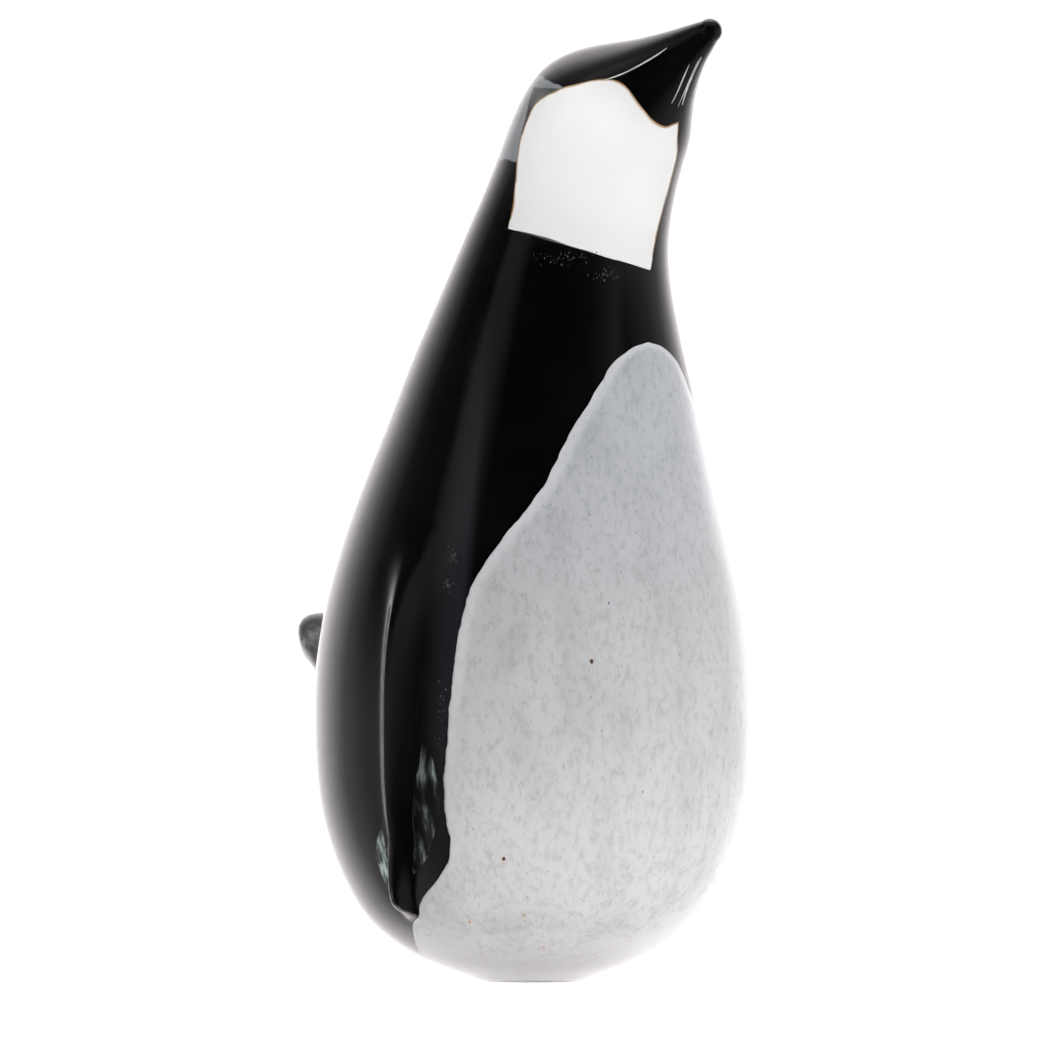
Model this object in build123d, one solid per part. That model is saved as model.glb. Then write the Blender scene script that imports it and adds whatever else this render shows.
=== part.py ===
from build123d import *
import os
from math import cos, hypot, radians, sin

# Penguin figurine of solid cased glass, made as a glassblower builds it up.
# A white inner gather carries patches of coloured glass, a thick clear gather covers
# them all, and the flippers, the tail and the beak are pulled out of that mass.
# Frame: millimetres, +Z up, origin at the centre of the ground flat under the body.
# The bird faces -Y, so its right side is towards -X.

# Whole figure
figure_height = 200.0
belly_radius = 45.7
head_radius = 18.6
base_flat_radius = 11.0
beak_reach = 46.0
beak_tip_radius = 2.6

# Glass layers
casing_thickness = 4.5
colour_thickness = 2.0
cut_overrun = 30.0

# Sections of the trunk: height as a share of the figure's height, place in front of
# the axis as a share of the beak's reach, lean in degrees, share of the belly's radius
trunk_shares = [
    (0.0080, 0.000, 0, 0.340),
    (0.0220, 0.004, 0, 0.495),
    (0.0530, 0.010, 0, 0.703),
    (0.1000, 0.013, 0, 0.853),
    (0.1750, 0.013, 0, 0.967),
    (0.2700, 0.011, 0, 1.000),
    (0.3750, 0.010, 0, 0.963),
    (0.4850, 0.034, 2, 0.840),
    (0.5700, 0.076, 4, 0.722),
]

# Sections of the neck and head: the same four values with the head's radius, and the
# share of the casing's thickness that lies over them
head_shares = [
    (0.6300, 0.113, 7, 1.581, 0.95),
    (0.7000, 0.157, 10, 1.339, 0.85),
    (0.7650, 0.211, 14, 1.140, 0.75),
    (0.8150, 0.278, 18, 1.038, 0.65),
    (0.8575, 0.345, 22, 1.000, 0.60),
    (0.8885, 0.410, 28, 0.970, 0.55),
    (0.9110, 0.487, 35, 0.905, 0.50),
    (0.9270, 0.595, 43, 0.735, 0.44),
    (0.9440, 0.722, 50, 0.500, 0.36),
    (0.9650, 0.852, 55, 0.300, 0.28),
    (0.9785, 0.940, 57, 0.200, 0.25),
]
beak_tip_lean = 57
beak_tip_casing_share = 0.25
sections_between = 2
dome_angles = [25, 48, 68, 82]

# Directions, in degrees round the bird from its front towards its right side
quarter_angle = 53.0
flipper_angle = 93.0

# Pale breast panel, seen from the right front quarter: its edge from the throat down,
# across as a share of the coloured layer's radius, height share
belly_edge_shares = [
    (0.770, 0.6600),
    (0.639, 0.6545),
    (0.497, 0.6400),
    (0.376, 0.6150),
    (0.194, 0.5735),
    (0.048, 0.5215),
    (-0.112, 0.4795),
    (-0.257, 0.4380),
    (-0.339, 0.3965),
    (-0.387, 0.3130),
    (-0.411, 0.2510),
    (-0.432, 0.1885),
    (-0.442, 0.1365),
    (-0.612, 0.1000),
    (-0.800, 0.0685),
    (-0.960, 0.0375),
]
base_wrap_height = 17.0
base_wrap_fall = 27.0

# White face patch, seen from the same quarter: its outline from the lower corner at
# the nape's side, over the cheek, round the beak's notch and back along the throat,
# across from the head's middle as a share of the head's radius, height share
face_left_shares = [
    (-0.926, 0.7815),
    (-0.861, 0.8125),
    (-0.810, 0.8490),
    (-0.763, 0.8750),
    (-0.648, 0.9040),
]
face_top_shares = [
    (-0.502, 0.9190),
    (-0.302, 0.9270),
    (-0.040, 0.9335),
    (0.214, 0.9355),
    (0.350, 0.9280),
    (0.463, 0.9150),
    (0.605, 0.8975),
    (0.732, 0.8900),
]
face_right_shares = [
    (0.870, 0.8980),
    (0.830, 0.8645),
    (0.790, 0.8440),
    (0.697, 0.8125),
    (0.618, 0.7815),
    (0.537, 0.7400),
]
face_bottom_share = (-0.175, 0.7606)
head_middle_share = 0.355

# Blue-grey window at the nape, crown and beak root
nape_low_height = 168.0
crown_height = 185.0
nape_front_reach = 10.0
beak_root_height = 176.0
beak_root_reach = 29.5
beak_root_top_height = 187.0
beak_root_slope = 50.0

# Flippers, pulled down from the sides: share of the flipper's length from its top,
# crest as a share of its reach, half depth and half width as shares of its own
flipper_top_height = 93.0
flipper_length = 78.5
flipper_reach = 48.0
flipper_half_depth = 9.0
flipper_half_width = 8.0
flipper_skin = 1.2
flipper_outer_shares = [
    (0.00, 0.795, 0.40, 0.35),
    (0.15, 0.945, 0.80, 0.75),
    (0.35, 1.000, 1.00, 0.98),
    (0.60, 1.000, 1.02, 1.00),
    (0.79, 0.985, 1.00, 0.86),
    (0.90, 0.960, 0.88, 0.64),
    (0.97, 0.932, 0.60, 0.42),
    (1.00, 0.910, 0.25, 0.22),
]
flipper_core_shares = [
    (0.02, 0.795, 0.33, 0.25),
    (0.15, 0.945, 0.75, 0.62),
    (0.35, 1.000, 0.86, 0.80),
    (0.58, 1.000, 0.78, 0.74),
    (0.75, 0.988, 0.60, 0.56),
    (0.86, 0.970, 0.37, 0.36),
    (0.94, 0.943, 0.21, 0.22),
    (0.98, 0.920, 0.13, 0.14),
]

# Tail nub, drawn out at the back: share of its reach, share of its lift, radius share
tail_height = 67.0
tail_lift = 4.0
tail_reach = 58.7
tail_root_radius = 10.5
tail_tip_radius = 2.8
tail_skin = 1.2
tail_core_radius = 7.0
tail_shares = [
    (0.560, -0.20, 1.00),
    (0.660, 0.00, 0.88),
    (0.750, 0.20, 0.58),
    (0.830, 0.50, 0.29),
    (0.915, 0.80, 0.09),
    (1.000, 1.00, 0.00),
]

right_side = -1
left_side = 1


def drawn_sections():
    """Reach, height, lean, radius and casing share of the sections named above."""
    rows = [(0.0, 0.0, 0.0, base_flat_radius, 1.0)]
    for height, reach, lean, radius in trunk_shares:
        rows.append((reach * beak_reach, height * figure_height, lean, radius * belly_radius, 1.0))
    for height, reach, lean, radius, casing in head_shares:
        place = (reach * beak_reach, height * figure_height, lean)
        rows.append((*place, radius * head_radius, casing))
    tip = (beak_reach, figure_height - beak_tip_radius, beak_tip_lean)
    return rows + [(*tip, beak_tip_radius, beak_tip_casing_share)]


def blended(before, low, high, after, share):
    """Smooth value between two neighbours, with slopes taken from those beyond."""
    slope_low = (high - before) / 2
    slope_high = (after - low) / 2
    rise = high - low
    bend_low = slope_low - rise
    bend_high = rise - slope_high
    sway = (1 - share) * bend_low + share * bend_high
    return low + share * rise + share * (1 - share) * sway


def smoothed(drawn):
    """The drawn sections with smooth ones between them."""
    last = len(drawn) - 1
    rows = []
    for step in range(last * sections_between + 1):
        i = min(step // sections_between, last - 1)
        share = step / sections_between - i
        near = [drawn[max(i - 1, 0)], drawn[i], drawn[i + 1], drawn[min(i + 2, last)]]
        rows.append([blended(*values, share) for values in zip(*near)])
    return rows


def inset_stations(depth, layer):
    """The same sections moved inwards, square to the glass, by a casing and a layer."""
    rows = smoothed(drawn_sections())
    moved = []
    for i, (reach, height, lean, radius, casing) in enumerate(rows):
        before = rows[max(i - 1, 0)]
        after = rows[min(i + 1, len(rows) - 1)]
        run = hypot(after[0] - before[0], after[1] - before[1])
        rise = after[3] - before[3]
        slope = hypot(run, rise)
        inset = depth * casing + layer
        along = inset * rise / slope
        tilt = radians(lean)
        moved.append(
            (
                reach + along * sin(tilt),
                height + along * cos(tilt),
                lean,
                radius - inset * run / slope,
                casing,
            )
        )
    return moved


def domed(row):
    """Smaller and smaller sections that round off the end of a drawn-out form."""
    reach, height, lean, radius, casing = row
    tilt = radians(lean)
    rows = []
    for angle in dome_angles:
        ahead = radius * sin(radians(angle))
        place = (reach + ahead * sin(tilt), height + ahead * cos(tilt), lean)
        rows.append((*place, radius * cos(radians(angle)), casing))
    return rows


def section(row):
    """A round section face, square to the leaning spine."""
    reach, height, lean, radius, casing = row
    tilt = radians(lean)
    plane = Plane(origin=(0, -reach, height), x_dir=(1, 0, 0), z_dir=(0, -sin(tilt), cos(tilt)))
    return plane * Circle(radius)


def drawn_form(rows):
    """Smooth solid through the sections, rounded at its drawn-out end."""
    return loft([section(row) for row in rows + domed(rows[-1])])


def form_at(rows, height):
    """Reach and radius of a form at a height, between its two nearest sections."""
    for low, high in zip(rows, rows[1:]):
        if height <= high[1]:
            break
    share = (height - low[1]) / (high[1] - low[1])
    return low[0] + share * (high[0] - low[0]), low[3] + share * (high[3] - low[3])


def quarter_plane():
    """Upright plane through the axis, facing the bird's right front quarter."""
    turn = radians(quarter_angle)
    return Plane(origin=(0, 0, 0), x_dir=(cos(turn), -sin(turn), 0), z_dir=(-sin(turn), -cos(turn), 0))


def layer_point(rows, across_share, height_share):
    """Point of an outline, across as a share of the coloured layer's radius there."""
    height = height_share * figure_height
    reach, radius = form_at(rows, height)
    return reach * sin(radians(quarter_angle)) + across_share * radius, height


def head_point(across_share, height_share):
    """Point of an outline, across from the head's middle by a share of its radius."""
    middle = head_middle_share * beak_reach * sin(radians(quarter_angle))
    return middle + across_share * head_radius, height_share * figure_height


def belly_tool(rows):
    """Cutter for the pale breast panel, which also wraps under the base."""
    edge = [layer_point(rows, across, height) for across, height in belly_edge_shares]
    side = belly_radius + cut_overrun
    low = -cut_overrun
    last = edge[-1]
    outline = [
        Spline(edge),
        Polyline([last, (last[0], low), (side, low), (side, edge[0][1]), edge[0]]),
    ]
    right = extrude(quarter_plane() * make_face(outline), side)
    right &= Pos(-side, 0, 0) * Box(2 * side, 4 * side, 4 * figure_height)
    both = right + mirror(right, Plane.YZ)
    under = Pos(0, 0, base_wrap_height - side) * Box(4 * side, 4 * side, 2 * side)
    fall = Rot(-base_wrap_fall, 0, 0)
    return both + Pos(0, 0, base_wrap_height) * fall * Pos(0, 0, -base_wrap_height) * under


def face_tool():
    """Cutter for the white face patch, from the middle of the head to its near side."""
    left = [head_point(across, height) for across, height in face_left_shares]
    top = [head_point(across, height) for across, height in face_top_shares]
    right = [head_point(across, height) for across, height in face_right_shares]
    bottom = head_point(*face_bottom_share)
    outline = [
        Spline(left + top + right[:1]),
        Spline(right),
        ThreePointArc(right[-1], bottom, left[0]),
    ]
    depth = head_middle_share * beak_reach * cos(radians(quarter_angle))
    return extrude(quarter_plane().offset(depth) * make_face(outline), belly_radius + cut_overrun)


def above(height):
    """Everything above a height."""
    side = belly_radius + beak_reach + cut_overrun
    return Pos(0, 0, height + side) * Box(4 * side, 4 * side, 2 * side)


def behind(reach):
    """Everything behind a place in front of the axis."""
    side = figure_height + cut_overrun
    return Pos(0, side - reach, 0) * Box(4 * side, 2 * side, 4 * side)


def beak_tool():
    """Everything in front of the sloping root of the beak and above the chin."""
    side = belly_radius + beak_reach + cut_overrun
    front = Pos(0, -side, 0) * Box(4 * side, 2 * side, 4 * side)
    root = Pos(0, -beak_root_reach, beak_root_top_height) * Rot(90 - beak_root_slope, 0, 0) * front
    return root & above(beak_root_height)


def flipper_form(shares, skin):
    """A fin through flat ellipses, out to the bird's side."""
    faces = []
    for place, crest, depth, width in smoothed(shares):
        half_depth = depth * flipper_half_depth
        centre = crest * flipper_reach - skin - half_depth
        height = flipper_top_height - place * flipper_length
        faces.append(Pos(centre, 0, height) * Ellipse(half_depth, width * flipper_half_width))
    return Rot(0, 0, -90 - flipper_angle) * loft(faces)


def tail_form(root_radius, tip_radius):
    """A rounded nub through sections, drawn straight back and a little upwards."""
    rows = []
    for place, lift, radius in tail_shares:
        size = tip_radius + radius * (root_radius - tip_radius)
        rows.append((-place * tail_reach, tail_height + lift * tail_lift, -90, size, 1.0))
    return drawn_form(smoothed(rows))


def largest(shape):
    """The main solid of a cut, without loose slivers."""
    return max(shape.solids(), key=lambda solid: solid.volume)


def build():
    """Every piece of the figurine, by name."""
    colour_rows = inset_stations(casing_thickness, 0)
    core_rows = inset_stations(casing_thickness, colour_thickness)[:-2]
    outer = drawn_form(smoothed(drawn_sections()))
    colour = drawn_form(colour_rows)
    core = loft([section(row) for row in core_rows])
    beak_space = beak_tool()
    face_space = face_tool()

    layer = colour - core
    pieces = {}
    pieces["beak_core"] = largest(colour & beak_space - face_space)
    pieces["inner_gather"] = largest(core - beak_space)
    layer -= beak_space
    pieces["face_patch"] = largest((layer + (colour & beak_space)) & face_space - core)
    layer -= face_space
    pieces["breast_panel"] = largest(layer & belly_tool(colour_rows))
    layer -= belly_tool(colour_rows)
    pieces["crown_cap"] = largest(layer & above(crown_height))
    layer -= above(crown_height)
    nape_space = behind(nape_front_reach) & above(nape_low_height)
    pieces["nape_window"] = largest(layer & nape_space)
    pieces["black_mantle"] = largest(layer - nape_space)

    fin = flipper_form(flipper_outer_shares, 0)
    fin_core = flipper_form(flipper_core_shares, flipper_skin)
    tail = tail_form(tail_root_radius, tail_tip_radius)
    tail_black = tail_form(tail_core_radius, tail_tip_radius - tail_skin)
    for name, side in (("right", right_side), ("left", left_side)):
        shape = fin if side == right_side else mirror(fin, Plane.YZ)
        black = fin_core if side == right_side else mirror(fin_core, Plane.YZ)
        pieces[name + "_flipper_core"] = largest(black - colour)
        pieces[name + "_flipper_sheath"] = largest(shape - outer - black)
    pieces["tail_core"] = largest(tail_black - colour)
    pieces["tail_sheath"] = largest(tail - outer - tail_black)
    casing = outer - colour
    for name in ("right_flipper_core", "left_flipper_core", "tail_core"):
        casing -= pieces[name]
    pieces["clear_casing"] = largest(casing)
    return pieces


os.makedirs("parts", exist_ok=True)
for name, piece in build().items():
    piece.label = name
    export_step(piece, "parts/" + name + ".step")
    print(name, round(piece.volume / 1000, 2), "cm3")
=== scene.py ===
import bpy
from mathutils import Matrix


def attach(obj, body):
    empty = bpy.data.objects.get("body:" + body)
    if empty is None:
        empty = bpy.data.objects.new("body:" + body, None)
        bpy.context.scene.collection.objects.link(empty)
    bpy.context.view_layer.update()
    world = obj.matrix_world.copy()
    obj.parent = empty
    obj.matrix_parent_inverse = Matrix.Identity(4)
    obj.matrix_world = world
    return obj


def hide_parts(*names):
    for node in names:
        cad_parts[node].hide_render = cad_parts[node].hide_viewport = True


bl_info = {
    "name": "Cased glass penguin",
    "version": (1, 0, 0),
    "blender": (4, 5, 0),
    "location": "3D View > Sidebar > Penguin",
    "description": "Dresses the packed figurine with its glass, colours and studio",
    "category": "Object",
}

from functools import partial
from math import cos, exp, hypot, pi, radians, sin, sqrt

import bmesh
import bpy
import numpy as np
from bpy.props import FloatProperty, FloatVectorProperty, IntProperty, PointerProperty
from mathutils import Vector, noise

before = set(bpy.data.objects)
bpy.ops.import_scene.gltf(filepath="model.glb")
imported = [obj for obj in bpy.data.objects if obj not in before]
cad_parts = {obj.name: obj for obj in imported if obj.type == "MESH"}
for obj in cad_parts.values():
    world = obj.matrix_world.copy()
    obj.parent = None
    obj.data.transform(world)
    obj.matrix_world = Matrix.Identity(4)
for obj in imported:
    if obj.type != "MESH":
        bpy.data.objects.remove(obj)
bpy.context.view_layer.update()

# The bird faces -Y and stands on Z = 0. Tables are in millimetres and turned to metres
# when a mesh is made.
MM = 0.001
RIGHT = -1
LEFT = 1

# The photo looks from the right front quarter and sees nearly half a turn of a section
QUARTER = radians(53)
QUARTER_SIGHT = radians(84)

# Sections of the glass: reach, height, lean in degrees, radius, share of the casing
BODY = (
    (0.00, 0.0, 0, 11.0, 1.0), (0.00, 1.6, 0, 15.54, 1.0), (0.18, 4.4, 0, 22.62, 1.0),
    (0.46, 10.6, 0, 32.13, 1.0), (0.60, 20.0, 0, 38.98, 1.0), (0.60, 35.0, 0, 44.19, 1.0),
    (0.51, 54.0, 0, 45.70, 1.0), (0.46, 75.0, 0, 44.01, 1.0), (1.56, 97.0, 2, 38.39, 1.0),
    (3.50, 114.0, 4, 33.00, 1.0), (5.20, 126.0, 7, 29.41, 0.95),
    (7.22, 140.0, 10, 24.91, 0.85), (9.71, 153.0, 14, 21.20, 0.75),
    (12.79, 163.0, 18, 19.31, 0.65), (15.87, 171.5, 22, 18.60, 0.60),
    (18.86, 177.7, 28, 18.04, 0.55), (22.40, 182.2, 35, 16.83, 0.50),
    (27.37, 185.4, 43, 13.67, 0.44), (33.21, 188.8, 50, 9.30, 0.36),
    (39.19, 193.0, 55, 5.58, 0.28), (43.24, 195.7, 57, 3.72, 0.25),
    (46.00, 197.4, 57, 2.60, 0.25),
)
CASING = 4.5
DOME_STEPS = 9

# Coloured sheets: how far above the coloured glass they lie, and their thickness
SHEET_LIFT = 0.14
SHEET_THICKNESS = 0.6

# Directions of a flipper's ridge in degrees, and the turn backwards of its lower end
FIN_ANGLE = 93
FIN_TURN = 5.2

# Flipper ridges: height, how far the crest stands out, half widths in front and behind
FIN = (
    (13.0, 0.0, 2.2, 1.8), (14.0, 0.5, 2.0, 1.7), (14.8, 1.8, 1.9, 1.6),
    (15.7, 3.3, 1.9, 1.5), (17.0, 4.1, 1.9, 1.5), (19.0, 4.3, 2.0, 1.5),
    (22.0, 4.0, 2.5, 1.6), (27.0, 3.6, 3.2, 1.7), (32.0, 3.2, 4.1, 1.8),
    (38.0, 2.9, 5.2, 1.9), (46.0, 2.6, 6.6, 1.9), (55.0, 2.4, 7.8, 1.9),
    (65.0, 2.4, 8.8, 1.9), (76.0, 2.1, 9.4, 2.1), (84.0, 1.4, 9.8, 2.8),
    (90.0, 0.5, 10.0, 4.0), (96.0, 0.0, 10.0, 6.0),
)

# Tail nub: height of its axis, how far it spreads, how much more below the axis, its
# clear skin, how far the smoky core in it spreads, and the lift of its tip
TAIL_HEIGHT = 69.0
TAIL_REACH = 14.5
TAIL_FALL = 1.9
TAIL_SKIN = 0.9
TAIL_CORE_REACH = 8.4
TAIL_LIFT = 4.0

# Tail nub: distance from its axis and how far it stands off the back
NUB = (
    (0.0, 16.2), (1.3, 15.9), (2.5, 15.0), (3.4, 13.5), (4.2, 11.2), (5.1, 8.4), (6.3, 5.6),
    (7.9, 3.1), (9.8, 1.3), (12.0, 0.3), (14.5, 0.0),
)

# Black core of a flipper: height, half its width, half its depth
FIN_CORE = (
    (15.6, 0.3, 0.4), (16.4, 0.9, 1.2), (18.5, 1.2, 1.9), (22.0, 1.4, 2.3),
    (28.0, 1.8, 2.7), (36.0, 2.7, 3.2), (46.0, 3.6, 3.8), (60.0, 4.4, 4.2),
    (76.0, 4.2, 4.0), (86.0, 2.8, 3.0), (91.0, 0.8, 1.0),
)
FIN_CORE_SKIN = 1.0

# Edge of the breast panel: height and angle from the front towards either side
BREAST_EDGE = (
    (132.6, 0.0), (132.3, 3.0), (131.9, 8.0), (130.9, 13.3), (128.0, 23.2), (123.0, 30.9),
    (114.7, 41.8), (104.3, 50.2), (95.9, 59.4), (87.6, 67.9), (79.3, 72.8), (62.6, 75.8),
    (50.2, 77.3), (37.7, 78.6), (27.3, 79.2), (20.0, 90.7), (13.7, 106.1), (9.5, 122.0),
    (7.0, 140.0), (5.2, 180.0),
)

# Outline of the white face patch, seen from the quarter: across, height. Its corners
# are the rows with the numbers in FACE_CORNERS.
FACE_CORNERS = (0, 14, 19)
FACE_STEPS = 22
FACE_MIDDLE = (17.5, 167.0)
FACE_FOOT = 156.3
FACE = (
    (-4.18, 156.3), (-2.98, 162.5), (-2.03, 169.8), (-1.15, 175.0), (0.99, 180.8),
    (3.70, 183.8), (7.42, 185.4), (12.30, 186.7), (17.02, 187.1), (19.55, 185.6),
    (21.65, 183.0), (24.29, 179.5), (26.66, 178.0), (27.90, 178.1), (29.60, 178.9),
    (29.00, 172.9), (28.00, 168.8), (26.00, 162.5), (24.53, 156.3), (23.03, 148.0),
    (16.50, 150.2), (9.79, 152.3), (3.20, 154.6),
)


def table(rows, at, column=1):
    """Value of a table at a place, straight between its rows."""
    return float(np.interp(at, [row[0] for row in rows], [row[column] for row in rows]))


def curved(rows, places):
    """Smooth curve through the rows of a table, at the given places along it."""
    rows = np.array(rows, float)
    count = len(rows)
    system = np.eye(count)
    sides = np.zeros_like(rows)
    for i in range(1, count - 1):
        system[i, i - 1 : i + 2] = (1, 4, 1)
        sides[i] = 6 * (rows[i + 1] - 2 * rows[i] + rows[i - 1])
    bends = np.linalg.solve(system, sides)
    low = np.clip(np.floor(places).astype(int), 0, count - 2)
    ahead = (places - low)[:, None]
    left = 1 - ahead
    line = left * rows[low] + ahead * rows[low + 1]
    sway = (left**3 - left) * bends[low] + (ahead**3 - ahead) * bends[low + 1]
    return line + sway / 6


def body_rows(depth, finer):
    """Sections from the base to the beak's tip, moved in by a depth below the glass."""
    fine = curved(BODY, np.linspace(0, len(BODY) - 1, 60 * (len(BODY) - 1) + 1))
    reach, height, radius = fine[:, 0], fine[:, 1], fine[:, 3]
    run = np.hypot(np.gradient(reach), np.gradient(height))
    rise = np.gradient(radius)
    slope = np.hypot(run, rise)
    inset = depth(fine[:, 4])
    tilt = np.radians(fine[:, 2])
    along = inset * rise / slope
    moved = fine.copy()
    moved[:, 0] += along * np.sin(tilt)
    moved[:, 1] += along * np.cos(tilt)
    moved[:, 3] -= inset * run / slope
    weight = slope * np.where(height < 27, finer, 1) * np.where(reach > 34, 1.8, 1)
    length = np.concatenate(([0], np.cumsum((weight[1:] + weight[:-1]) / 2)))
    return moved, length


def sampled(rows, length, count):
    """A number of sections evenly spaced by a measure along the rows."""
    at = np.linspace(0, length[-1], count)
    return np.column_stack([np.interp(at, length, rows[:, k]) for k in range(rows.shape[1])])


def outer_surface(count):
    """Sections of the casing's outside, without its flippers and tail."""
    rows, length = body_rows(lambda share: share * 0, 2.2)
    return sampled(rows, length, count)


def colour_layer(lift, count):
    """Sections of the coloured glass under the casing, lifted by a small amount."""
    rows, length = body_rows(lambda share: share * CASING - lift, 1.0)
    return sampled(rows, length, count)


def domed(row):
    """Smaller and smaller sections that round off the beak's tip."""
    reach, height, lean, radius, casing = row
    tilt = radians(lean)
    made = []
    for step in range(1, DOME_STEPS):
        turn = pi / 2 * step / DOME_STEPS
        ahead = radius * sin(turn)
        place = reach + ahead * sin(tilt), height + ahead * cos(tilt)
        made.append((*place, lean, radius * cos(turn), casing))
    return np.array(made)


def ring_point(row, angle):
    """Point of a section at an angle from the front towards the bird's right side."""
    reach, height, lean, radius = row[:4]
    tilt = radians(lean)
    front = radius * cos(angle)
    return Vector((-radius * sin(angle), -reach - front * cos(tilt), height - front * sin(tilt)))


def spaced_angles(count):
    """Angles round the body, closer together at the flippers and the tail."""
    fine = np.linspace(-180, 180, 7201)
    weight = np.ones_like(fine)
    for side in (-1, 1):
        weight += 2.6 * np.exp(-(((fine - side * (FIN_ANGLE - 3)) / 11) ** 2))
        weight += 1.6 * np.exp(-(((fine - side * 180) / 11) ** 2))
    length = np.concatenate(([0], np.cumsum((weight[1:] + weight[:-1]) / 2)))
    return np.radians(np.interp(np.linspace(0, length[-1], count + 1)[:-1], length, fine))


def fin_angle(height):
    """Direction of a flipper's ridge, which turns backwards towards its tip."""
    return radians(FIN_ANGLE + FIN_TURN * min(max((30 - height) / 14, 0), 1))


def fin_lift(angle, height, radius):
    """How far a flipper's ridge stands out of the body at a place."""
    if not FIN[0][0] < height < FIN[-1][0]:
        return 0.0
    across = (angle - fin_angle(height)) * radius
    width = table(FIN, height, 3 if across > 0 else 2)
    blunt = 1.8 + 1.2 * min(max((36 - height) / 14, 0), 1)
    return table(FIN, height, 1) * exp(-((abs(across) / width) ** blunt))


def nub_steps():
    """Distance from the tail's axis for even steps along the nub's side."""
    radii = np.linspace(0, TAIL_REACH, 400)
    rise = np.interp(radii, [row[0] for row in NUB], [row[1] for row in NUB])
    length = np.concatenate(([0], np.cumsum(np.hypot(np.diff(radii), np.diff(rise)))))
    return radii, length / length[-1]


def tail_surface(x, up, out, rows):
    """Point beside and above the tail's axis that stands off the body's back."""
    height = TAIL_HEIGHT + (up * TAIL_FALL if up < 0 else up)
    middle = -float(np.interp(TAIL_HEIGHT, rows[:, 1], rows[:, 0]))
    size = float(np.interp(height, rows[:, 1], rows[:, 3]))
    y = middle + sqrt(max(size * size - x * x, 0)) + out
    lift = TAIL_LIFT * min(max((y - 42.0) / 18.0, 0), 1.1) * min(max(out / 3.0, 0), 1)
    return Vector((x, y, height + lift))


def grid_faces(rows, columns, closed):
    """Quads of a grid, joined round to its first column if it is closed."""
    faces = []
    for i in range(rows - 1):
        low, high = i * columns, (i + 1) * columns
        for j in range(columns if closed else columns - 1):
            k = (j + 1) % columns
            faces.append((low + j, low + k, high + k, high + j))
    return faces


def flipped(faces):
    """The same faces, seen from their other side."""
    return [tuple(reversed(face)) for face in faces]


def add_piece(name, data):
    """An object in the scene that rides on the figurine."""
    piece = bpy.data.objects.new(name, data)
    bpy.context.scene.collection.objects.link(piece)
    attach(piece, "root")
    return piece


def add_mesh(name, mesh, material):
    """A smooth mesh as a piece of the figurine."""
    mesh.polygons.foreach_set("use_smooth", [True] * len(mesh.polygons))
    mesh.materials.append(material)
    return add_piece(name, mesh)


def add_surface(name, vertices, faces, material):
    """A piece made from points in metres and faces between them."""
    mesh = bpy.data.meshes.new(name)
    mesh.from_pydata([tuple(v) for v in vertices], [], faces)
    mesh.validate()
    return add_mesh(name, mesh, material)


def reshape(piece, change):
    """Puts a piece's mesh through a change that works on its editable form."""
    made = bmesh.new()
    made.from_mesh(piece.data)
    change(made)
    made.to_mesh(piece.data)
    made.free()


def add_core(name, vertices, columns, material):
    """A closed piece from rings of points, capped at its first and last ring."""
    faces = grid_faces(len(vertices) // columns, columns, True)
    for first in (0, len(vertices) - columns):
        faces.append(tuple(range(first, first + columns)))
    piece = add_surface(name, vertices, faces, material)
    reshape(piece, lambda made: bmesh.ops.recalc_face_normals(made, faces=made.faces))
    return piece


def thicken(piece, thickness):
    """Gives a sheet its thickness, inwards from where it is drawn."""
    thick = piece.modifiers.new("Thickness", "SOLIDIFY")
    thick.thickness = thickness * MM
    thick.offset = -1


def finish_sheet(piece, distances):
    """Notes how far each point is from the colour's edge and makes the sheet solid."""
    store = piece.data.attributes.new("edge", "FLOAT", "POINT")
    store.data.foreach_set("value", distances)
    thicken(piece, SHEET_THICKNESS)


def dress(name, material):
    """Gives one of the CAD's solids its material."""
    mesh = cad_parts[name].data
    if not mesh.materials:
        mesh.materials.append(material)
    for k in range(len(mesh.materials)):
        mesh.materials[k] = material


# Node helpers


def new_material(name):
    """A material with only its output and a Principled shader, and its node tree."""
    material = bpy.data.materials.new(name)
    material.use_nodes = True
    tree = material.node_tree
    tree.nodes.clear()
    output = tree.nodes.new("ShaderNodeOutputMaterial")
    shader = tree.nodes.new("ShaderNodeBsdfPrincipled")
    shader.name = "shader"
    tree.links.new(shader.outputs["BSDF"], output.inputs["Surface"])
    return material, tree


def without_shine(material, colour, roughness=0.5):
    """Gives a material its colour. The shine is left to the clear glass over it."""
    inputs = material.node_tree.nodes["shader"].inputs
    give(inputs["Base Color"], colour)
    inputs["Roughness"].default_value = roughness
    inputs["Specular IOR Level"].default_value = 0.0
    return material


def node(tree, kind, **values):
    """A node with its input values set."""
    made = tree.nodes.new(kind)
    for key, value in values.items():
        made.inputs[key].default_value = value
    return made


def give(socket, value):
    """Links an output to a socket, or sets the socket to a plain value."""
    if isinstance(value, bpy.types.NodeSocket):
        value.id_data.links.new(value, socket)
    else:
        socket.default_value = value


def math(operation, first, second=None, clamp=False):
    """Output of a Math node on a socket and, for most operations, a socket or number."""
    made = first.id_data.nodes.new("ShaderNodeMath")
    made.operation = operation
    made.use_clamp = clamp
    give(made.inputs[0], first)
    if second is not None:
        give(made.inputs[1], second)
    return made.outputs[0]


plus, minus, times, divided = (
    partial(math, operation) for operation in ("ADD", "SUBTRACT", "MULTIPLY", "DIVIDE")
)


def mixed(share, first, second, blend="MIX"):
    """Output of a colour mix, of which the share or the first colour is a socket."""
    known = share if isinstance(share, bpy.types.NodeSocket) else first
    made = known.id_data.nodes.new("ShaderNodeMix")
    made.data_type = "RGBA"
    made.blend_type = blend
    for number, value in ((0, share), (6, first), (7, second)):
        give(made.inputs[number], value)
    return made.outputs[2]


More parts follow.
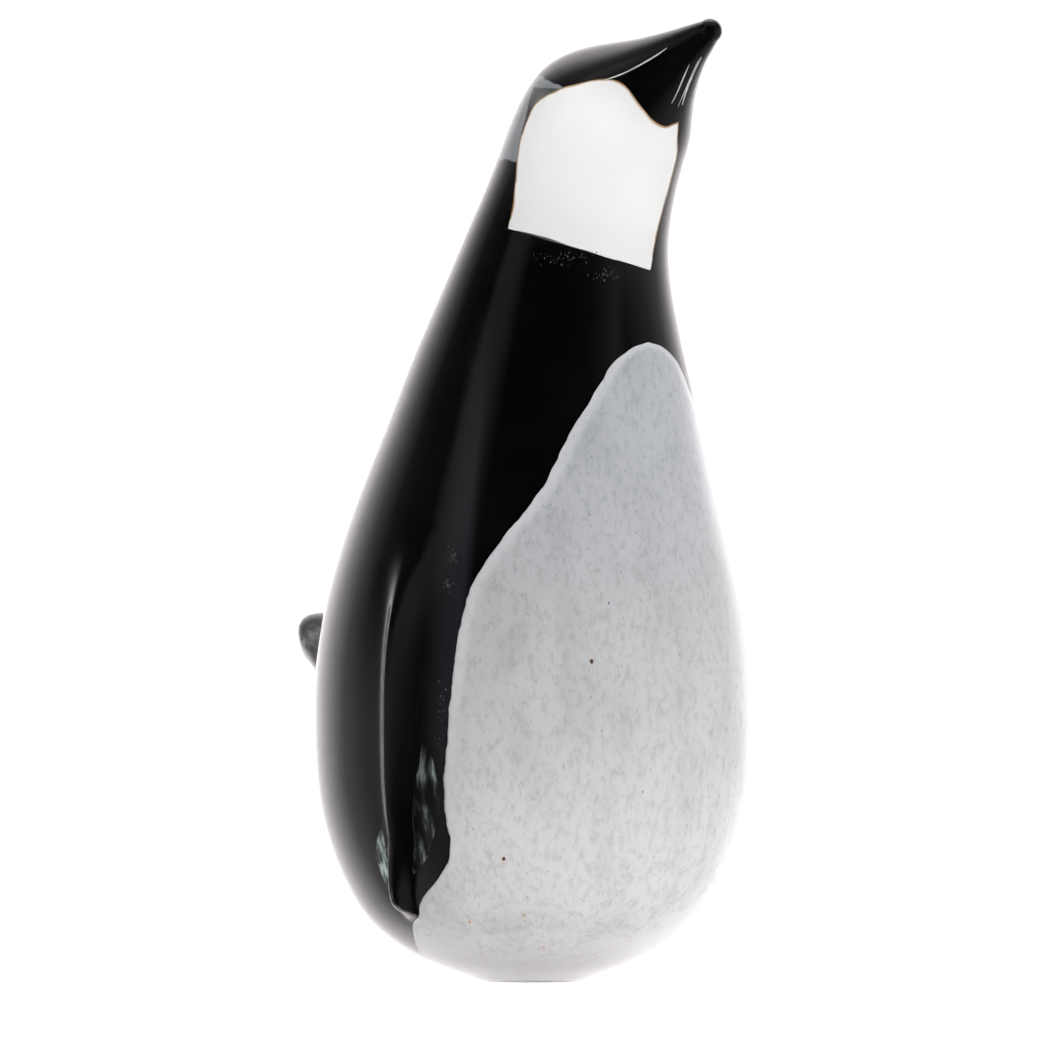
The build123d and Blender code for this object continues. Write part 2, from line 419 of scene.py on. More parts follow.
def ramp(value, stops, interpolation="LINEAR"):
    """Output of a colour ramp over a value, from (place, grey or colour) stops."""
    made = value.id_data.nodes.new("ShaderNodeValToRGB")
    made.color_ramp.interpolation = interpolation
    points = made.color_ramp.elements
    while len(points) < len(stops):
        points.new(0.5)
    for point, (place, colour) in zip(points, stops):
        point.position = place
        point.color = (*([colour] * 3 if isinstance(colour, (int, float)) else colour), 1)
    give(made.inputs[0], value)
    return made.outputs[0]


def cloud(tree, scale, detail=3.0, roughness=0.5, stretch=(1, 1, 1), shift=(0, 0, 0)):
    """Noise over the object's own place, as a value from 0 to 1."""
    place = tree.nodes.new("ShaderNodeTexCoord")
    mapping = tree.nodes.new("ShaderNodeMapping")
    mapping.inputs["Scale"].default_value = stretch
    mapping.inputs["Location"].default_value = shift
    tree.links.new(place.outputs["Object"], mapping.inputs["Vector"])
    made = node(tree, "ShaderNodeTexNoise", Scale=scale, Detail=detail, Roughness=roughness)
    tree.links.new(mapping.outputs["Vector"], made.inputs["Vector"])
    return made.outputs["Fac"]


def place_parts(tree):
    """The object's own place: across, depth and height, in metres."""
    place = tree.nodes.new("ShaderNodeTexCoord")
    split = tree.nodes.new("ShaderNodeSeparateXYZ")
    tree.links.new(place.outputs["Object"], split.inputs[0])
    return split.outputs


def edge_distance(tree):
    """Distance from the colour's edge that is stored on a sheet's points."""
    made = tree.nodes.new("ShaderNodeAttribute")
    made.attribute_name = "edge"
    return made.outputs["Fac"]


def clear_glass(name, tint):
    """Clear glass with the faint waviness of a hand-worked surface."""
    material, tree = new_material(name)
    inputs = tree.nodes["shader"].inputs
    inputs["Base Color"].default_value = (*tint, 1)
    inputs["Roughness"].default_value = 0.0
    inputs["IOR"].default_value = 1.5
    inputs["Transmission Weight"].default_value = 1.0
    bump = node(tree, "ShaderNodeBump", Strength=0.05, Distance=0.001)
    tree.links.new(cloud(tree, 70, 1.0, 0.4, (1, 1, 0.5)), bump.inputs["Height"])
    tree.links.new(bump.outputs["Normal"], inputs["Normal"])
    return material


def coloured_glass(name, dark, light, scale, stretch=(1, 1, 1)):
    """Opaque coloured glass under the casing, drifting between two colours."""
    material, tree = new_material(name)
    drift = cloud(tree, scale, 4.0, 0.55, stretch)
    return without_shine(material, ramp(drift, ((0.32, dark), (0.68, light))))


def smoke(share):
    """The nape's grey, painted shade on the head's white glass, dimmed to a share of itself."""
    return tuple(c * share for c in settings().nape)


def painted_shade_meets_black(name, dark, slope, limit, painted_shade_above=False):
    """The nape's grey painted shade on one side of a slanting, scalloped line and black glass on
    the other.
    """
    material, tree = new_material(name)
    x, y, z = place_parts(tree)
    aside = times(math("ABSOLUTE", x), -cos(QUARTER) / MM)
    across = minus(aside, times(y, sin(QUARTER) / MM))
    line = plus(divided(z, MM), times(across, slope))
    line = plus(line, times(minus(cloud(tree, 260, 2), 0.5), 2.4))
    over = plus(minus(line, limit), 0.5)
    greys = ((0.35, smoke(0.6)), (0.65, smoke(1.0)))
    grey = ramp(cloud(tree, 160, 3, 0.5, (1, 1, 0.5)), greys)
    shares = ((0.35, 0.0), (0.65, 1.0)) if painted_shade_above else ((0.35, 1.0), (0.65, 0.0))
    colour = mixed(ramp(over, shares), (*dark, 1), grey)
    return without_shine(material, colour)


class PenguinGlassSettings(bpy.types.PropertyGroup):
    clear_tint: FloatVectorProperty(
        name="Clear glass", description="Tint of the casing",
        subtype="COLOR", default=(1.0, 1.0, 1.0),
    )
    black: FloatVectorProperty(
        name="Black glass", description="Colour of the mantle",
        subtype="COLOR", default=(0.0006, 0.0006, 0.0008),
    )
    breast: FloatVectorProperty(
        name="Breast", description="Ground colour of the speckled breast",
        subtype="COLOR", default=(0.95, 0.96, 0.975),
    )
    face: FloatVectorProperty(
        name="Face", description="Colour of the face patch",
        subtype="COLOR", default=(0.95, 0.945, 0.94),
    )
    rim: FloatVectorProperty(
        name="Amber rim", description="Line where the face meets the black",
        subtype="COLOR", default=(0.42, 0.25, 0.10),
    )
    # The nape's grey is painted shade on the head's white glass
    nape: FloatVectorProperty(
        name="Nape", description="Smoky grey of the nape",
        subtype="COLOR", default=(0.27, 0.285, 0.30),
    )
    edge_wobble: FloatProperty(
        name="Edge wobble", description="How far a colour's edge wanders",
        default=0.00022, unit="LENGTH",
    )
    speckle: FloatProperty(
        name="Speckle size", description="Width of the breast's flecks",
        default=0.0008, min=0.0002, unit="LENGTH",
    )
    seeds: IntProperty(
        name="Bubbles", description="Number of small bubbles in the glass",
        default=170, min=0,
    )
    floor_width: FloatProperty(
        name="Floor", description="Width of the studio floor",
        default=6.0, unit="LENGTH",
    )


def settings():
    return bpy.context.scene.penguin_glass


class PENGUIN_OT_casing(bpy.types.Operator):
    """Makes the thick clear gather with its flipper ridges, tail nub and beak tip"""

    bl_idname = "penguin.casing"
    bl_label = "Clear casing"

    def execute(self, context):
        rows = outer_surface(262)
        rows = np.vstack((rows, domed(rows[-1])))
        angles = spaced_angles(356)
        radii, steps = nub_steps()
        vertices = []
        for row in rows:
            for angle in angles:
                point = ring_point(row, angle)
                for side in (RIGHT, LEFT):
                    lift = fin_lift(-side * angle, point.z, row[3])
                    turn = fin_angle(point.z)
                    point += lift * Vector((side * sin(turn), -cos(turn), 0))
                if point.y > 0 and hypot(*self.tail_place(point)) < TAIL_REACH:
                    point = self.nub_point(point, radii, steps, rows)
                vertices.append(point * MM)
        faces = flipped(grid_faces(len(rows), len(angles), True))
        base = len(faces)
        faces.append(tuple(range(len(angles))))
        tip = len(vertices)
        vertices.append(self.beak_tip(rows[-1]) * MM)
        last = (len(rows) - 1) * len(angles)
        for j in range(len(angles)):
            faces.append((last + (j + 1) % len(angles), last + j, tip))
        glass = clear_glass("clear_glass", settings().clear_tint)
        piece = add_surface("glass_casing", vertices, faces, glass)
        piece.data.polygons[base].use_smooth = False
        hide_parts("clear_casing", "right_flipper_sheath", "left_flipper_sheath", "tail_sheath")
        return {"FINISHED"}

    def tail_place(self, point):
        """Place beside the tail's axis, drawn together below it where the nub runs out."""
        up = point.z - TAIL_HEIGHT
        return point.x, up / TAIL_FALL if up < 0 else up

    def nub_point(self, point, radii, steps, rows):
        """Moves a point near the tail onto the nub's side."""
        across, up = self.tail_place(point)
        distance = hypot(across, up)
        radius = float(np.interp(distance / TAIL_REACH, steps, radii))
        grow = radius / distance if distance > 1e-6 else 0
        return tail_surface(across * grow, up * grow, table(NUB, radius), rows)

    def beak_tip(self, end):
        """Point that closes the rounded beak in front of its last section."""
        rise = BODY[-1][3] * (1 - sin(pi / 2 * (DOME_STEPS - 1) / DOME_STEPS))
        tilt = radians(end[2])
        return Vector((0, -end[0] - rise * sin(tilt), end[1] + rise * cos(tilt)))


class PENGUIN_OT_black(bpy.types.Operator):
    """Gives the black glass under the casing its finish"""

    bl_idname = "penguin.black"
    bl_label = "Black glass"

    def execute(self, context):
        dark = tuple(settings().black)
        light = tuple(c * 2.5 + 0.0008 for c in dark)
        dress("beak_core", coloured_glass("black_glass", dark, light, 60))
        # The crown is black above a slanting line and has the nape's grey painted shade below it
        dress("crown_cap", painted_shade_meets_black("crown_black_and_painted_shade", dark, 0.5, 188.5))
        dress("black_mantle", self.mantle_glass(dark, light))
        fin = coloured_glass("fin_black_glass", dark, light, 160, (1, 1, 0.3))
        self.core("right_black_fin", RIGHT, fin, "right_flipper_core")
        self.core("left_black_fin", LEFT, fin, "left_flipper_core")
        self.tail(self.tail_glass(dark))
        dress("inner_gather", self.gather_glass())
        return {"FINISHED"}

    def gather_glass(self):
        """Opal white, with the nape's grey painted shade over it in the head, where a little of it
        shows at the nape.
        """
        material, tree = new_material("gather_glass")
        opal = ramp(cloud(tree, 40, 3), ((0.35, 0.7), (0.65, 0.8)))
        # Painted shade: above the neck the white gather takes the nape's grey
        height = place_parts(tree)[2]
        head = ramp(times(height, 5.0), ((0.78, 0.0), (0.80, 1.0)))
        return without_shine(material, mixed(head, opal, (*smoke(0.8), 1)))

    def core(self, name, side, glass, node_name):
        """Black tongue inside a flipper, flat where it lies on the mantle."""
        outer = outer_surface(500)
        under = colour_layer(0.05, 500)
        heights = np.linspace(FIN_CORE[0][0], FIN_CORE[-1][0], 150)
        turns = np.linspace(0, 2 * pi, 41)[:-1]
        vertices = []
        for height in heights:
            size, reach = (float(np.interp(height, outer[:, 1], outer[:, k])) for k in (3, 0))
            floor = float(np.interp(height, under[:, 1], under[:, 3] + under[:, 0])) - reach
            half_width, half_depth = table(FIN_CORE, height, 1), table(FIN_CORE, height, 2)
            crest = size + table(FIN, height, 1) - FIN_CORE_SKIN - half_depth
            for turn in turns:
                out = max(crest + half_depth * cos(turn), floor)
                angle = fin_angle(height) - (0.4 + half_width * sin(turn)) / size
                point = Vector((side * out * sin(angle), -reach - out * cos(angle), height))
                vertices.append(point * MM)
        piece = add_core(name, vertices, len(turns), glass)
        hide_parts(node_name)

    def mantle_glass(self, dark, light):
        """Black glass, with a greyer painted reflection band in front of the flippers and the
        nape's grey painted shade beside the face's top.
        """
        material, tree = new_material("mantle_glass")
        x, y, z = place_parts(tree)
        ground = ramp(cloud(tree, 60, 3), ((0.35, dark), (0.65, light)))
        turn = math("ARCTAN2", math("ABSOLUTE", x), times(y, -1))
        drift = times(cloud(tree, 40, 3, 0.5, (1, 1, 0.3)), 0.02)
        turn = plus(divided(turn, pi), drift)
        # Painted reflection: a dark grey band on the black in front of each flipper, fading out
        # low down and under the head
        strip = ramp(turn, ((0.405, 0.0), (0.425, 1.0), (0.452, 0.7), (0.485, 0.0)))
        span = ((0.16, 0.0), (0.24, 1.0), (0.60, 0.8), (0.85, 0.0))
        strip = times(strip, ramp(times(z, 6.0), span))
        colour = mixed(strip, ground, (0.021, 0.019, 0.024, 1))
        # Painted shade: the nape's grey where the mantle reaches up beside the face's top
        wander = times(cloud(tree, 260, 2), 1.5)
        past = []
        for part, limit in ((z, 171.5), (y, -15.5)):
            over = plus(minus(divided(part, MM), limit), wander)
            past.append(ramp(over, ((0.4, 0.0), (0.8, 1.0))))
        colour = mixed(times(*past), colour, (*smoke(0.8), 1))
        return without_shine(material, colour)

    def tail(self, glass):
        """Smoky cone under the clear skin of the tail nub."""
        rows = outer_surface(500)
        turns = np.linspace(0, 2 * pi, 49)[:-1]
        rings = [
            (radius, table(NUB, radius) - TAIL_SKIN)
            for radius in np.linspace(TAIL_SKIN + 0.02, TAIL_CORE_REACH, 40)
        ]
        rings.append((TAIL_CORE_REACH, 0.1 - CASING))
        vertices = []
        for radius, out in rings:
            for turn in turns:
                x, up = (radius - TAIL_SKIN) * cos(turn), (radius - TAIL_SKIN) * sin(turn)
                vertices.append(tail_surface(x, up, out, rows) * MM)
        piece = add_core("smoky_tail", vertices, len(turns), glass)
        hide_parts("tail_core")

    def tail_glass(self, dark):
        """Streaky smoke that turns black along the top of the tail."""
        material, tree = new_material("tail_smoke_glass")
        streaks = cloud(tree, 420, 3, 0.5, (1, 0.2, 0.6))
        grey = ramp(streaks, ((0.38, 0.03), (0.50, 0.09), (0.64, 0.26)))
        x, y, z = place_parts(tree)
        rise = minus(z, times(y, 0.15))
        rise = times(minus(rise, 0.058), 60.0)
        top = ramp(rise, ((0.34, 0.0), (0.50, 1.0)))
        return without_shine(material, mixed(top, grey, (*dark, 1)))


def layer_point(rows, place, angle):
    """Point of the coloured layer at a place along its sections and an angle."""
    low = min(max(int(place), 0), len(rows) - 2)
    share = place - low
    return ring_point(rows[low] * (1 - share) + rows[low + 1] * share, angle)


def at_heights(rows, heights, angles):
    """Points of a layer at given heights and angles, on whichever sections pass there."""
    level = heights
    for _ in range(4):
        reach, lean, radius = (np.interp(level, rows[:, 1], rows[:, k]) for k in (0, 2, 3))
        tilt = np.radians(lean)
        level = heights + radius * np.cos(angles) * np.sin(tilt)
    y = -reach - radius * np.cos(angles) * np.cos(tilt)
    return np.column_stack((-radius * np.sin(angles), y, heights))


def quarter_place(rows, u, v):
    """Place and angle on the side that the quarter view sees, at a spot of that view."""
    angles = np.radians(np.arange(-32, 138, 2))
    picked = np.arange(0, len(rows), 4)
    tilt = np.radians(rows[picked, 2])[:, None]
    front = rows[picked, 3][:, None] * np.cos(angles)
    x = -rows[picked, 3][:, None] * np.sin(angles)
    y = -rows[picked, 0][:, None] - front * np.cos(tilt)
    z = rows[picked, 1][:, None] - front * np.sin(tilt)
    across = x * cos(QUARTER) - y * sin(QUARTER)
    u = min(u, float(across[np.abs(z - v) < 2.5].max()) - 0.35)
    miss = (across - u) ** 2 + (z - v) ** 2
    i, j = np.unravel_index(np.argmin(miss), miss.shape)
    place = np.array((picked[i], angles[j]), float)

    def off(at):
        point = layer_point(rows, at[0], at[1])
        return np.array((point.x * cos(QUARTER) - point.y * sin(QUARTER) - u, point.z - v))

    steps = (0.5, 0.01)
    for _ in range(8):
        now = off(place)
        slopes = [(off(place + step * unit) - now) / step for step, unit in zip(steps, np.eye(2))]
        move = np.linalg.lstsq(np.column_stack(slopes) + np.eye(2) * 1e-6, -now, rcond=None)[0]
        place = place + np.clip(move, (-6, -0.08), (6, 0.08))
    place[1] = min(max(place[1], QUARTER - QUARTER_SIGHT), QUARTER + QUARTER_SIGHT)
    return place


def quarter_point(rows, u, v):
    """Point of a layer at a spot of the quarter view, in metres."""
    return layer_point(rows, *quarter_place(rows, u, v)) * MM


class PENGUIN_OT_breast(bpy.types.Operator):
    """Makes the speckled breast panel with its soft pale edge"""

    bl_idname = "penguin.breast"
    bl_label = "Breast panel"

    def execute(self, context):
        rows = colour_layer(SHEET_LIFT, 900)
        fine = curved(BREAST_EDGE, np.linspace(0, len(BREAST_EDGE) - 1, 800))
        fine = fine[np.argsort(fine[:, 0])]
        wobble = settings().edge_wobble / MM
        columns = 241
        far = 40
        top = BREAST_EDGE[0][0]
        upper = top - (top - 120) * np.linspace(1, 0, 70)[1:] ** 2
        tops = np.concatenate((np.linspace(2.2, 30, 90), np.linspace(30.4, 120, 230), upper))
        turns = np.interp(tops, fine[:, 0], fine[:, 1])
        turns[tops <= BREAST_EDGE[-1][0]] = 179.9
        size = np.interp(tops, rows[:, 1], rows[:, 3])
        angles, edge = [], []
        for height, turn, radius in zip(tops, turns, size):
            open_side = turn < 170
            for part in np.linspace(-1, 1, columns):
                wander = (0.5 + self.wander(height, part) * wobble) / radius if open_side else 0
                angles.append((radians(turn) + wander) * part)
                side = (1 - abs(part)) * radians(turn) * radius if open_side else far
                edge.append(min(side, (top - height) * 0.8 + side * 0.4, far))
        vertices = at_heights(rows, np.repeat(tops, columns), np.array(angles)) * MM
        faces = flipped(grid_faces(len(tops), columns, False))
        piece = add_surface("speckled_breast", vertices, faces, self.glass())
        finish_sheet(piece, edge)
        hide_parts("breast_panel")
        return {"FINISHED"}

    def wander(self, height, part):
        """How far the panel's edge strays sideways, on a scale of about one."""
        place = Vector((height * 0.35, 3.7 if part > 0 else 9.1, 0.4))
        small = Vector((height * 1.7, 1.3 if part > 0 else 5.1, 2.4))
        return noise.noise(place) * 1.6 + noise.noise(small) * 0.6

    def glass(self):
        """Ground of pale powder glass with grey flecks, streaks and a whiter edge, under painted
        shade that darkens it towards the top.
        """
        material, tree = new_material("speckled_glass")
        size = settings().speckle
        base = tuple(settings().breast)
        pale = tuple(min(c * 1.03, 1.0) for c in base)
        soft = tuple(c * 0.90 for c in base)
        large = cloud(tree, 0.10 / size, 3, 0.5, (1, 1, 0.45))
        ground = ramp(large, ((0.30, soft), (0.50, base), (0.72, pale)))
        grain = cloud(tree, 0.55 / size, 5, 0.7, (1, 1, 0.6))
        speckled = ramp(grain, ((0.36, 0.80), (0.52, 1.0)))
        ground = mixed(0.8, ground, speckled, "MULTIPLY")
        flecks = cloud(tree, 1.1 / size, 2, 0.5, (1, 1, 0.5), (0.3, 0.1, 0.7))
        spots = ramp(flecks, ((0.66, 0.0), (0.74, 0.42)))
        ground = mixed(spots, ground, (0.26, 0.28, 0.30, 1))
        # Painted shade: the breast grows darker towards the top and is brightest and warmest at
        # its foot
        rise = divided(place_parts(tree)[2], 0.14, clamp=True)
        painted_shade_tones = (
            (0.07, (1.0, 0.975, 0.96)), (0.34, (0.69, 0.684, 0.676)),
            (0.56, (0.575, 0.573, 0.576)), (0.79, (0.52, 0.528, 0.548)),
            (1.00, (0.50, 0.515, 0.535)),
        )
        ground = mixed(1.0, ground, ramp(rise, painted_shade_tones), "MULTIPLY")
        away = divided(edge_distance(tree), 4.0, clamp=True)
        rim = ramp(away, ((0.0, 0.50), (0.30, 0.42), (0.9, 0.0)), "EASE")
        patchy = plus(cloud(tree, 1.2 / size, 3, 0.6), 0.55)
        rim = times(rim, patchy, clamp=True)
        return without_shine(material, mixed(rim, ground, (0.80, 0.81, 0.82, 1)))


class PENGUIN_OT_face(bpy.types.Operator):
    """Makes the white face patch with its thin amber rim"""

    bl_idname = "penguin.face"
    bl_label = "Face patch"

    def execute(self, context):
        rows = colour_layer(SHEET_LIFT, 700)
        outline = self.outline_places(rows)
        count = len(outline)
        middle = quarter_place(rows, *FACE_MIDDLE)
        rings = 46
        vertices, edge = [layer_point(rows, *middle) * MM], [20.0]
        for ring in range(1, rings + 1):
            share = 1 - (1 - ring / rings) ** 1.5
            for place in outline:
                vertices.append(layer_point(rows, *(middle + (place - middle) * share)) * MM)
        border = [Vector(v) for v in vertices[-count:]]
        for k, v in enumerate(vertices[1:]):
            # The straight foot of the patch has no amber line
            across = (v.x * cos(QUARTER) - v.y * sin(QUARTER)) / MM
            above = v.z / MM - FACE_FOOT + 0.28 * (across + 5)
            edge.append((v - border[k % count]).length / MM + max(2.4 - above, 0) * 1.5)
        faces = [(0, 1 + j, 1 + (j + 1) % count) for j in range(count)]
        for i in range(rings - 1):
            for j in range(count):
                a, b = 1 + i * count + j, 1 + i * count + (j + 1) % count
                faces.append((a, a + count, b + count, b))
        piece = add_surface("white_face", vertices, faces, self.glass())
        reshape(piece, self.turn_to_outside)
        finish_sheet(piece, edge)
        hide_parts("face_patch")
        return {"FINISHED"}

    def turn_to_outside(self, made):
        """Makes the patch's faces look away from the middle of the head."""
        made.faces.ensure_lookup_table()
        face = made.faces[len(made.faces) // 2]
        head = Vector((0, -0.016, 0.172))
        if face.normal.dot(face.calc_center_median() - head) < 0:
            bmesh.ops.reverse_faces(made, faces=made.faces)

    def outline_places(self, rows):
        """Outline as places along the sections and angles, rounded and a little uneven."""
        drawn = np.array(FACE + FACE[:1])
        fine = []
        for low, high in zip(FACE_CORNERS, (*FACE_CORNERS[1:], len(FACE))):
            part = drawn[low : high + 1]
            at = np.linspace(0, len(part) - 1, FACE_STEPS * (len(part) - 1) + 1)
            fine.append(curved(part, at)[:-1])
        fine = np.vstack(fine)
        wobble = settings().edge_wobble / MM
        for k in range(len(fine)):
            at = Vector((fine[k, 0] * 0.22, fine[k, 1] * 0.22, 4.2))
            fine[k] += np.array((noise.noise(at), noise.noise(at + Vector((7, 3, 1))))) * wobble
        places = np.array([quarter_place(rows, u, v) for u, v in fine])
        # Along the side that turns out of sight the places are evened out
        low, high = (FACE_STEPS * corner for corner in FACE_CORNERS[1:])
        side = places[low : high + 1].copy()
        reach = 26
        for k in range(low + 1, high):
            near = min(reach, k - low, high - k)
            places[k] = side[k - low - near : k - low + near + 1].mean(axis=0)
        return places

    def glass(self):
        """Opal white with a golden line along its edge."""
        material, tree = new_material("white_glass")
        white = tuple(settings().face)
        soft = tuple(c * 0.985 for c in white)
        drift = ramp(cloud(tree, 90, 3, 0.5), ((0.35, soft), (0.65, white)))
        uneven = times(cloud(tree, 420, 2, 0.5), 0.5)
        away = plus(minus(edge_distance(tree), uneven), 0.2)
        line = ramp(away, ((0.0, 1.0), (0.22, 0.75), (0.5, 0.0)))
        return without_shine(material, mixed(line, drift, (*settings().rim, 1)))


class PENGUIN_OT_nape(bpy.types.Operator):
    """Gives the window at the nape its grey painted shade above a slanting line and black below it
    """

    bl_idname = "penguin.nape"
    bl_label = "Nape window"

    def execute(self, context):
        dark = tuple(settings().black)
        dress("nape_window", painted_shade_meets_black("nape_painted_shade", dark, -0.078, 170.6, True))
        return {"FINISHED"}


# Clear folds beside the flipper, seen from the quarter: across, height. They are drawn as opaque
# sheets with painted light.
WEBS = (
    (
        (-22.3, 50.2), (-19.8, 46.0), (-18.9, 37.7), (-19.8, 31.4), (-21.6, 26.2),
        (-25.0, 23.0), (-26.4, 19.5), (-26.8, 23.5), (-25.4, 28.5), (-24.4, 36.0),
        (-23.3, 44.0),
    ),
    (
        (-29.1, 37.7), (-31.4, 28.7), (-30.6, 24.7), (-29.3, 20.5), (-28.6, 22.5),
        (-29.0, 27.5), (-28.7, 33.0),
    ),
)

# Fine pale threads on the crown and the beak, seen from the quarter: half width, then
# across and height of their points
# The threads are ridges in the glass, and their pale colour is painted highlight
THREADS = (
    (
        0.16,
        ((15.0, 187.0), (17.6, 187.8), (20.6, 189.2), (23.8, 191.0), (26.4, 192.6), (28.0, 193.8)),
    ),
    (0.16, ((28.6, 182.6), (29.8, 184.8), (31.0, 187.6), (32.4, 190.6))),
    (0.12, ((29.8, 182.0), (31.0, 184.6), (32.4, 187.8), (34.2, 191.6))),
    (0.26, ((30.6, 182.4), (31.6, 185.6), (33.0, 188.8), (34.8, 192.2))),
    (0.12, ((31.9, 181.6), (32.6, 184.6), (33.8, 187.6), (35.2, 190.4))),
)

# Chips of other glass in the breast, seen from the quarter: across, height, size, colour
CHIPS = (
    (11.9, 67.2, 0.75, (0.10, 0.05, 0.03)), (-5.6, 27.1, 0.70, (0.14, 0.06, 0.03)),
    (2.3, 10.0, 0.45, (0.60, 0.20, 0.10)), (-12.3, 14.6, 0.45, (0.65, 0.25, 0.14)),
    (-1.5, 15.8, 0.60, (0.42, 0.36, 0.26)), (15.3, 79.0, 0.45, (0.18, 0.19, 0.21)),
    (22.0, 40.5, 0.40, (0.25, 0.24, 0.24)),
)

# Swarms of tiny bubbles, seen from the quarter: middle, spread, share of all of them
SWARMS = (
    ((7.5, 150.5), (6.5, 1.6), 0.34),
    ((14.5, 147.0), (4.0, 1.5), 0.16),
    ((-15.8, 88.5), (1.1, 2.2), 0.20),
    ((-16.9, 83.0), (1.0, 1.8), 0.16),
    ((-18.4, 58.0), (0.9, 9.0), 0.14),
)


class PENGUIN_OT_webs(bpy.types.Operator):
    """Makes the streaky folds in the clear glass beside the flippers' tips, as opaque sheets with
    painted light
    """

    bl_idname = "penguin.webs"
    bl_label = "Flipper folds"

    def execute(self, context):
        rows = colour_layer(2.2, 500)
        # The rear folds carry eight times as much painted light as the front ones
        glasses = self.glass("front_fold_painted_light", 1.0), self.glass("rear_fold_painted_light", 8.0)
        for side, bird_side in ((RIGHT, "right"), (LEFT, "left")):
            for drawn, end, glass in zip(WEBS, ("front", "rear"), glasses):
                self.fold(rows, side, "%s_%s_fold" % (bird_side, end), drawn, glass)
        return {"FINISHED"}

    def fold(self, rows, side, name, drawn, glass):
        """One leaf-shaped sheet, rippled along its length."""
        closed = np.array(drawn + drawn[:1])
        edge = curved(closed, np.linspace(0, len(drawn), 10 * len(drawn) + 1))[:-1]
        places = np.array([quarter_place(rows, u, v) for u, v in edge])
        middle = places.mean(axis=0)
        rings = 12
        vertices = []
        for ring in range(rings + 1):
            for place in places:
                point = layer_point(rows, *(middle + (place - middle) * ring / rings))
                ripple = noise.noise(Vector((point.x, point.y, point.z * 0.3)) * 0.9) * 0.5
                point += Vector((point.x, point.y, 0)).normalized() * ripple
                point.x *= -1 if side == LEFT else 1
                vertices.append(point * MM)
        faces = grid_faces(rings + 1, len(places), True)
        if side == RIGHT:
            faces = flipped(faces)
        piece = add_surface(name, vertices, faces, glass)
        # The innermost ring has no size and becomes one point
        reshape(piece, lambda made: bmesh.ops.remove_doubles(made, verts=made.verts, dist=1e-7))
        thicken(piece, 0.25)

    def glass(self, name, light):
        """Clear glass full of fine upright streaks, painted on an opaque sheet with the light
        through it painted in, more or less bright.
        """
        material, tree = new_material(name)
        streaks = cloud(tree, 330, 4, 0.6, (1.6, 1.6, 0.22))
        patches = cloud(tree, 220, 2, 0.5, (1, 1, 0.6), (0.2, 0.4, 0.1))
        shade = times(streaks, plus(patches, 0.5))
        greys = (
            (0.42, (0.003, 0.003, 0.004)), (0.52, (0.02, 0.024, 0.022)),
            (0.62, (0.07, 0.085, 0.078)), (0.76, (0.30, 0.34, 0.31)),
        )
        stops = [(place, tuple(min(c * light, 0.8) for c in grey)) for place, grey in greys]
        return without_shine(material, ramp(shade, stops), 0.4)


class PENGUIN_OT_threads(bpy.types.Operator):
    """Draws the fine ridges on the crown and beside the beak, pale with painted highlight"""

    bl_idname = "penguin.threads"
    bl_label = "Threads"

    def execute(self, context):
        rows = colour_layer(0.35, 700)
        # Painted highlight: the threads' pale colour
        glass = coloured_glass("thread_glass", (0.48, 0.52, 0.48), (0.86, 0.90, 0.86), 300)
        for number, (width, drawn) in enumerate(THREADS):
            curve = bpy.data.curves.new("thread_%d" % number, "CURVE")
            curve.dimensions = "3D"
            curve.bevel_depth = width * MM
            curve.bevel_resolution = 3
            curve.resolution_u = 10
            curve.use_fill_caps = True
            line = curve.splines.new("NURBS")
            line.points.add(len(drawn) - 1)
            for k, (u, v) in enumerate(drawn):
                line.points[k].co = (*quarter_point(rows, u, v), 1)
                line.points[k].radius = 0.35 if k in (0, len(drawn) - 1) else 1.0
            line.order_u = 3
            line.use_endpoint_u = True
            curve.materials.append(glass)
            add_piece("thread_%d" % number, curve)
        return {"FINISHED"}


